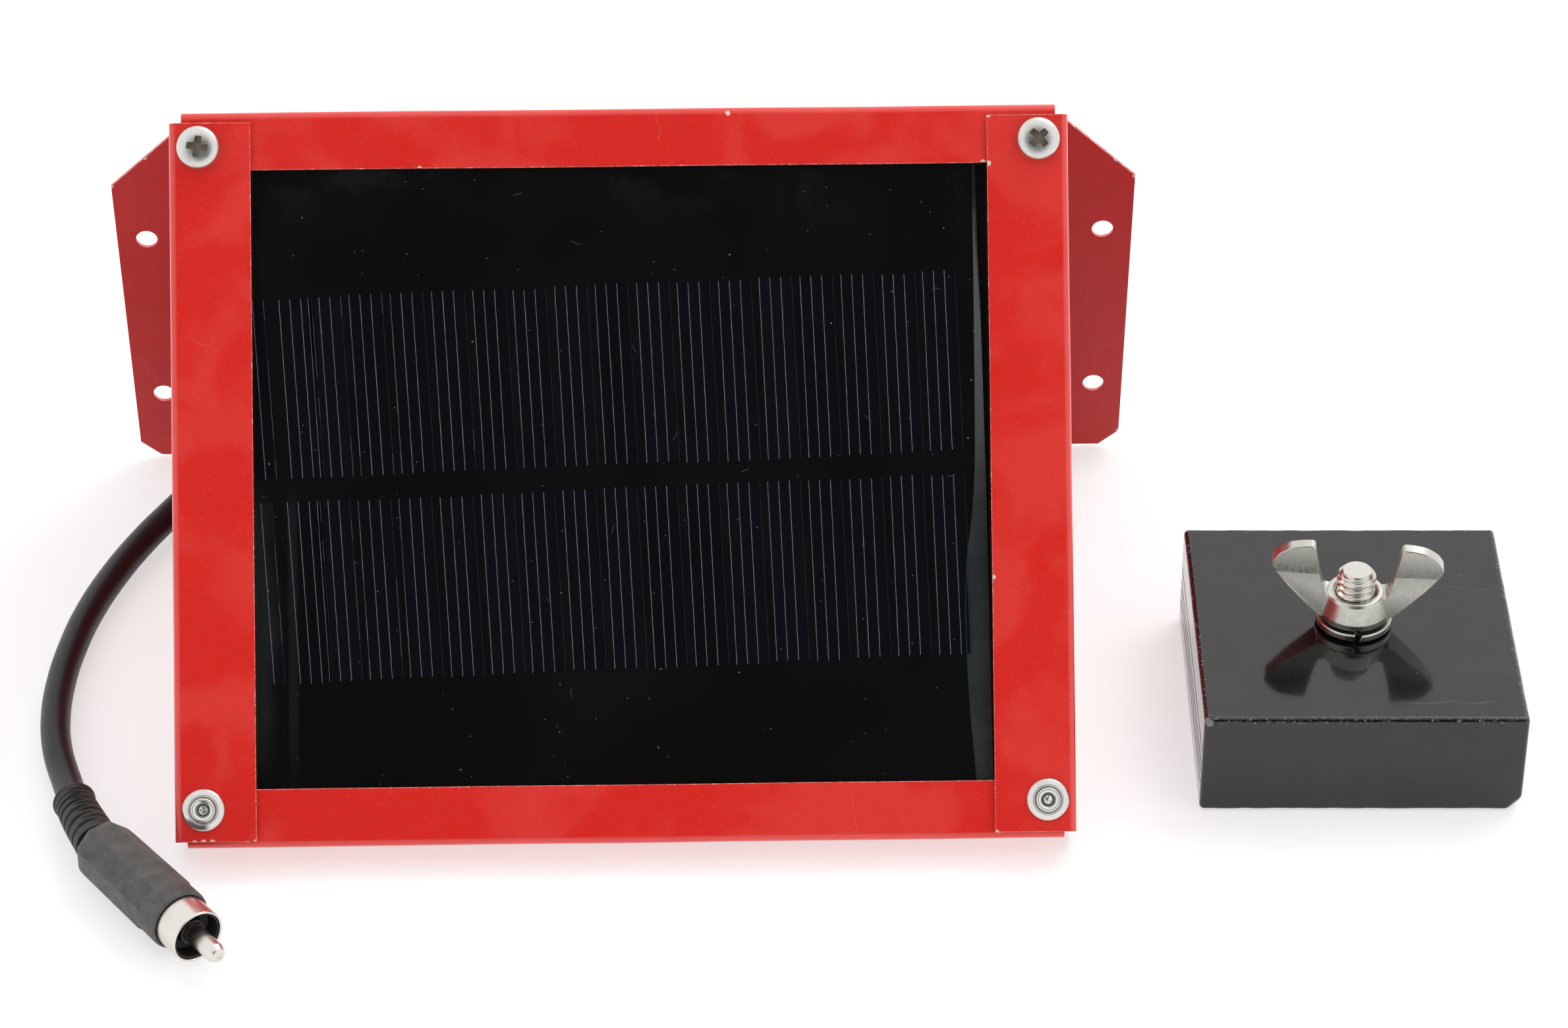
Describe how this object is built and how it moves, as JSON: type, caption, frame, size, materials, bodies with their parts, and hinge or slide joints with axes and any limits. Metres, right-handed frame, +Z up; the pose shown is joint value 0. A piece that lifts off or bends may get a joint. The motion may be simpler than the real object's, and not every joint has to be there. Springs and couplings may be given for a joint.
{
  "type": "solar attic fan",
  "caption": "Small solar panel in a folded red steel frame that roofs a wall-mounted fan hood, with a plug lead and a wooden clamp block with a wing nut.",
  "frame": {"origin": "middle of the kit's footprint on the table: the head on the left and the clamp block on the right, without the free lead and its plug", "axes": "+Z up, +X to the right along the panel's width, -Y towards the panel's face"},
  "size_m": [0.2366, 0.1398, 0.0954],
  "materials": {
    "red_paint": "satin",
    "hood_paint": "satin",
    "bright_steel": "satin",
    "rivet_steel": "satin",
    "foam": "matte",
    "board": "matte",
    "cell": "gloss",
    "resin_cover": "gloss",
    "fan_plastic": "matte",
    "lead_rubber": "satin",
    "plug_rubber": "matte",
    "plug_nickel": "polished",
    "black_paint": "gloss",
    "zinc_steel": "satin"
  },
  "bodies": {
    "head": {"frame_rail_left": "red_paint", "frame_rail_right": "red_paint", "frame_rail_top": "red_paint", "frame_rail_bottom": "red_paint", "hood_bracket_left": "hood_paint", "hood_bracket_right": "hood_paint", "hood_shell": "hood_paint", "vent_floor": "hood_paint", "frame_screw_left": "bright_steel", "frame_screw_right": "bright_steel", "frame_screw_nut_left": "bright_steel", "frame_screw_nut_right": "bright_steel", "fan_screw_1": "bright_steel", "fan_screw_2": "bright_steel", "fan_screw_3": "bright_steel", "fan_screw_4": "bright_steel", "fan_guard": "bright_steel", "fan_stator": "bright_steel", "frame_rivet_left": "rivet_steel", "frame_rivet_right": "rivet_steel", "panel_gasket": "foam", "panel_base": "board", "cell_row_upper": "cell", "cell_row_lower": "cell", "panel_cover": "resin_cover", "fan_housing": "fan_plastic", "junction_box": "fan_plastic", "junction_box_lid": "fan_plastic", "plug_insulator": "fan_plastic", "cord_gland": "lead_rubber", "cord": "lead_rubber", "fan_lead": "lead_rubber", "panel_lead": "lead_rubber", "plug_boot": "plug_rubber", "plug_body": "plug_rubber", "plug_shell": "plug_nickel", "plug_pin": "plug_nickel"},
    "rotor": {"fan_rotor": "fan_plastic"},
    "block": {"clamp_block": "black_paint", "block_bolt": "zinc_steel"},
    "washer": {"lock_washer": "zinc_steel"},
    "nut": {"wing_nut": "zinc_steel"}
  },
  "joints": [
    {"name": "fan_spin", "type": "hinge", "parent": "head", "child": "rotor", "pos_m": [-0.02866, 0.04497, 0.04086], "axis": [0, 0.9905, 0.1374], "continuous": true},
    {"name": "block_lift", "type": "slide", "parent": "head", "child": "block", "axis": [0, 0, 1], "range_m": [0, 0.05]},
    {"name": "nut_travel", "type": "slide", "parent": "block", "child": "washer", "axis": [0, 0, 1], "range_m": [0, 0.00255]},
    {"name": "nut_turn", "type": "hinge", "parent": "washer", "child": "nut", "pos_m": [0.08744, -0.0197, 0.02], "axis": [0, 0, 1], "range_deg": [0, 720]}
  ],
  "couplings": [
    {"joint": "nut_travel", "follows": "nut_turn", "m_per_rad": 0.00020213}
  ]
}
